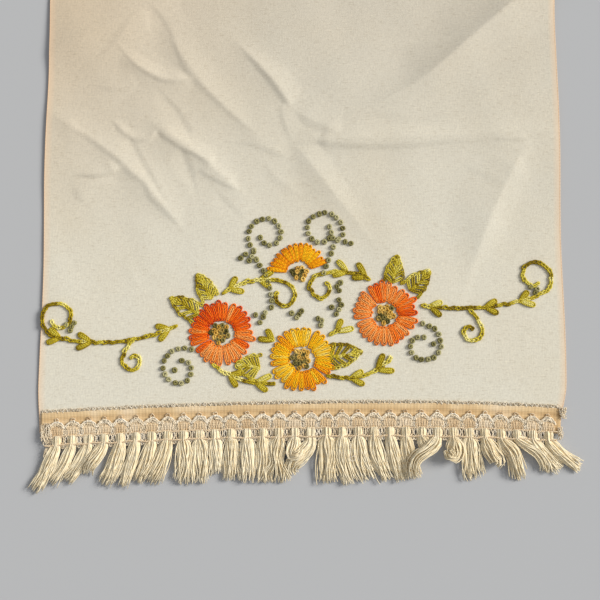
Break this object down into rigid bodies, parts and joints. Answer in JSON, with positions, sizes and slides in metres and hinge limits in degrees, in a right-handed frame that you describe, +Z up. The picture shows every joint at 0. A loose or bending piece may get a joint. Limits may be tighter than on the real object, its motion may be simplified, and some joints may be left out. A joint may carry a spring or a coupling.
{
  "type": "embroidered table runner",
  "caption": "Long cotton table runner laid flat, with soft creases, a gimp braid along each hem and a fringe of tied tassels at both ends.",
  "frame": {"origin": "middle of the cloth's underside, where the runner rests on the table", "axes": "+Y along the runner's length, from the near end to the far end; +X across its width; +Z up off the table"},
  "size_m": [0.3443, 1.0195, 0.0073],
  "materials": {
    "cotton_cloth": "ivory cotton with a soft, slightly slubbed plain weave, and a peach tint along its long edges",
    "gimp_braid": "tan woven gimp with ivory looped cords",
    "tassel_yarn": "cream cotton yarn, loosely twisted, matt",
    "embroidery_thread": "stranded and perle cotton, variegated orange, yellow, olive and sage, with a soft lustre"
  },
  "bodies": {
    "root": {"cloth": "cotton_cloth", "braid_near": "gimp_braid", "braid_far": "gimp_braid", "fringe_near": "tassel_yarn", "fringe_far": "tassel_yarn"}
  },
  "joints": []
}
